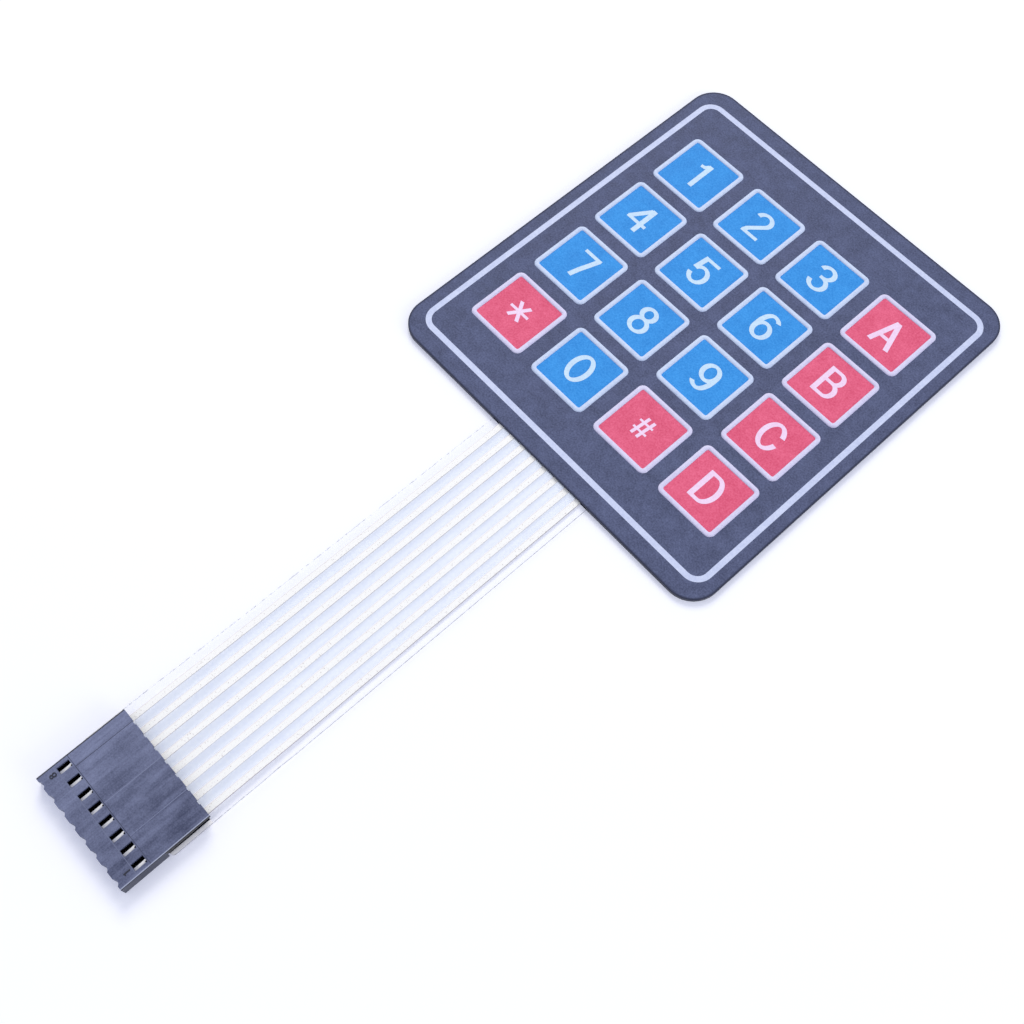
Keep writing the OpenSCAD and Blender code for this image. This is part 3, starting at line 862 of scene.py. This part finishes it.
grain_group = build_grain_group()
FINISHES = {
    "overlay_film": overlay_film(),
    "white_ink": grained_material(
        "white_ink", WHITE, grains=3.2, mottles=0.6, rough=(0.5, 0.6), relief=0.01, specular=0.3),
    "rim_white": key_white("rim_white", strength=0.25),
    "legend_white": key_white("legend_white", strength=0.9),
    "blue_ink": grained_material(
        "blue_ink", BLUE, grains=3.4, mottles=0.5, rough=(0.6, 0.7), relief=0.015, specular=0.25),
    "red_ink": grained_material(
        "red_ink", RED, grains=3.4, mottles=0.5, rough=(0.6, 0.7), relief=0.015, specular=0.25),
    "adhesive": grained_material(
        "adhesive", ADHESIVE_AND_SHADE, grains=1.5, mottles=0.3, rough=(0.35, 0.5), relief=0.01),
    "liner_paper": liner_paper(),
    "mark_shade_plastic": grained_material(
        "mark_shade_plastic", MARK_SHADE, grains=6, mottles=0.5, rough=(0.4, 0.55), relief=0.01, specular=0.4),
    "silver_ink": silver_ink(),
    "clear_film": clear_film(),
    "film_edge": film_edge(),
    "housing_plastic": housing_plastic(),
    "tinned_metal": tinned_metal(),
}


def paint(piece, *finishes):
    """Gives a piece its finish, and its cut edges the second one if there are two."""
    piece.data.materials.clear()
    for finish in finishes:
        piece.data.materials.append(FINISHES[finish])


def place_piece(piece, slot, *stands_for):
    """Fixes a new piece to the body of the keypad, in the place of CAD nodes."""
    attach(piece, "root")
    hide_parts(*stands_for)


def paint_frame():
    """Finishes the CAD nodes that stay."""
    slots = {
        "graphic_overlay": "overlay_film",
        "blue_print": "blue_ink",
        "red_print": "red_ink",
        "overlay_adhesive": "adhesive",
        "rear_adhesive": "adhesive",
        "release_liner": "liner_paper",
        "connector_housing": "housing_plastic",
    }
    for name, node in nodes.items():
        if "conductor" in name:
            paint(node, "silver_ink")
        elif name.startswith("terminal"):
            paint(node, "tinned_metal")
        elif name in slots:
            paint(node, slots[name])


# Studio

CAMERA_PLACE = (62.5, -102.78, 181.75)
CAMERA_TURN = (24.028, -0.651, 47.775)
CAMERA_LENS, CAMERA_NEAR = 44.98, 10
# Lamps: where they stand, seen from the pad, with distance and size in metres, power and colour
LAMPS = (
    ((-0.62, 0.5, 0.62), 2.2, 1.0, 25, (1, 0.97, 0.88)),
    ((0.92, 0.2, 0.3), 1.8, 0.8, 8, (0.95, 0.97, 1)),
)
FILL_COLOUR, FILL_LEVEL = (0.87, 0.9, 1, 1), 0.68
# Floor: its size in metres, its gap below the object, and the reach of its contact with it
FLOOR_SIZE, FLOOR_DROP, CONTACT = 8, 0.02, 0.8
FLOOR_COLOUR, FLOOR_GLOW, FLOOR_ROUGH = (0.86, 0.86, 0.87, 1), (0.19, 0.2, 0.28, 1), 0.9
BLACK, PURE_WHITE = (0, 0, 0, 1), (1, 1, 1, 1)


def add_camera():
    """Camera at the photograph's viewing angle."""
    bpy.ops.object.camera_add(
        location=metres(*CAMERA_PLACE), rotation=[math.radians(angle) for angle in CAMERA_TURN])
    camera = bpy.context.object
    camera.data.lens = CAMERA_LENS
    camera.data.clip_start = CAMERA_NEAR * MM
    bpy.context.scene.camera = camera


def add_lamps():
    """A large soft lamp above the far left corner of the pad, and a weak low one at its right."""
    for direction, distance, size, power, colour in LAMPS:
        place = Vector(direction).normalized() * distance
        bpy.ops.object.light_add(
            type="AREA", location=place, rotation=place.to_track_quat("Z", "Y").to_euler())
        lamp = bpy.context.object.data
        lamp.size, lamp.energy, lamp.color = size, power, colour


def seen_directly(tree):
    """1 for what the camera sees, straight or in gloss and glass, 0 for light on the object."""
    path = tree.nodes.new("ShaderNodeLightPath")
    seen = path.outputs["Is Camera Ray"]
    for ray in ("Is Glossy Ray", "Is Transmission Ray"):
        seen = either(tree, seen, path.outputs[ray])
    return seen


def mix_shaders(tree, share, one, other, surface):
    """Two shaders mixed by a share, as the surface of a material or the world."""
    mix = tree.nodes.new("ShaderNodeMixShader")
    tree.links.new(share, mix.inputs["Fac"])
    tree.links.new(one, mix.inputs[1])
    tree.links.new(other, mix.inputs[2])
    tree.links.new(mix.outputs["Shader"], surface)


def add_world():
    """Even cool fill, seen as white by the camera and in gloss."""
    world = bpy.data.worlds.new("studio")
    bpy.context.scene.world = world
    world.use_nodes = True
    tree = world.node_tree
    fill = tree.nodes["Background"]
    fill.inputs["Color"].default_value = FILL_COLOUR
    fill.inputs["Strength"].default_value = FILL_LEVEL
    white = tree.nodes.new("ShaderNodeBackground")
    white.inputs["Color"].default_value = PURE_WHITE
    mix_shaders(
        tree, seen_directly(tree), fill.outputs["Background"], white.outputs["Background"],
        tree.nodes["World Output"].inputs["Surface"])


def pale_floor():
    """Pale matt floor, seen as white where it is lit, and clear to what lies close above it."""
    material, tree, shader = start_material("pale_floor")
    shader.inputs["Base Color"].default_value = FLOOR_COLOUR
    shader.inputs["Roughness"].default_value = FLOOR_ROUGH
    shader.inputs["Specular IOR Level"].default_value = 0
    glow = ramp(tree, seen_directly(tree), BLACK, FLOOR_GLOW, start=0, end=1)
    tree.links.new(glow, shader.inputs["Emission Color"])
    shader.inputs["Emission Strength"].default_value = 1
    side = tree.nodes.new("ShaderNodeNewGeometry")
    path = tree.nodes.new("ShaderNodeLightPath")
    gathering = either(tree, path.outputs["Is Diffuse Ray"], path.outputs["Is Shadow Ray"])
    close = below(tree, path.outputs["Ray Length"], CONTACT * MM)
    open_below = either(tree, side.outputs["Backfacing"], both(tree, gathering, close))
    clear = tree.nodes.new("ShaderNodeBsdfTransparent")
    mix_shaders(
        tree, open_below, shader.outputs["BSDF"], clear.outputs["BSDF"],
        tree.nodes["Material Output"].inputs["Surface"])
    return material


def add_floor():
    """Floor under the keypad, which keeps its shadow."""
    bpy.ops.object.select_all(action="DESELECT")
    bpy.ops.mesh.primitive_plane_add(size=FLOOR_SIZE, location=metres(0, 0, -FLOOR_DROP))
    floor = bpy.context.object
    floor.name = "floor"
    floor.data.materials.append(pale_floor())


paint_frame()
place_piece(build_rims(), "white_ink", "white_print")
place_piece(build_border(), "white_ink", "white_print")
place_piece(build_legends(), "white_ink")
place_piece(build_laminate(), "clear_film", "upper_circuit_film", "spacer", "lower_circuit_film")
place_piece(build_pin_marks(), "housing_plastic")
add_camera()
add_lamps()
add_world()
add_floor()
bpy.context.scene.view_settings.view_transform = "Standard"
